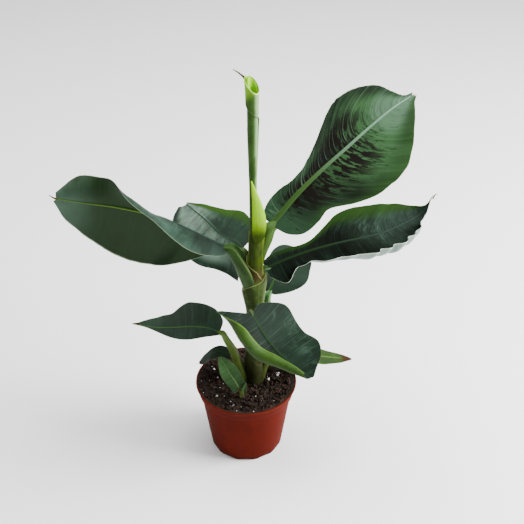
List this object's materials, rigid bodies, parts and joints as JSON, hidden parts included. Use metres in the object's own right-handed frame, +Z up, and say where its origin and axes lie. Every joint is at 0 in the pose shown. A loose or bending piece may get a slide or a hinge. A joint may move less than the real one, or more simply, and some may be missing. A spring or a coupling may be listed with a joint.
{
  "type": "potted young banana plant",
  "caption": "Young banana plant with a sheathed false stem, broad paddle leaves on channelled stalks and a rolled new leaf, standing in a round nursery pot of peat.",
  "frame": {"origin": "centre of the pot's flat underside, on the surface that the plant stands on", "axes": "+Z up along the false stem, -Y towards the front of the plant, +X to the right when it is seen from the front"},
  "size_m": [0.429, 0.214, 0.4879],
  "materials": {
    "pot": "satin",
    "soil": "matte",
    "sheath": "satin",
    "stalk": "satin",
    "leaf_green": "satin",
    "old_leaf_green": "satin",
    "rolled_leaf": "satin",
    "lime_sheath": "satin"
  },
  "bodies": {
    "root": {"pot": "pot", "soil": "soil", "pseudostem": "sheath", "stalk_upper_right": "stalk", "leaf_upper_right": "leaf_green", "stalk_right": "stalk", "leaf_right": "leaf_green", "stalk_left": "stalk", "leaf_left": "leaf_green", "stalk_back_left": "stalk", "leaf_back_left": "leaf_green", "stalk_back_right": "stalk", "leaf_back_right": "old_leaf_green", "stalk_lower_left": "stalk", "leaf_lower_left": "old_leaf_green", "stalk_front_right": "stalk", "leaf_front_right": "old_leaf_green", "stalk_low_right": "stalk", "leaf_low_right": "old_leaf_green", "stalk_low_back_left": "stalk", "leaf_low_back_left": "old_leaf_green", "stalk_sucker": "stalk", "leaf_sucker": "old_leaf_green", "rolled_leaf": "rolled_leaf", "lime_sheath": "lime_sheath"}
  },
  "joints": []
}
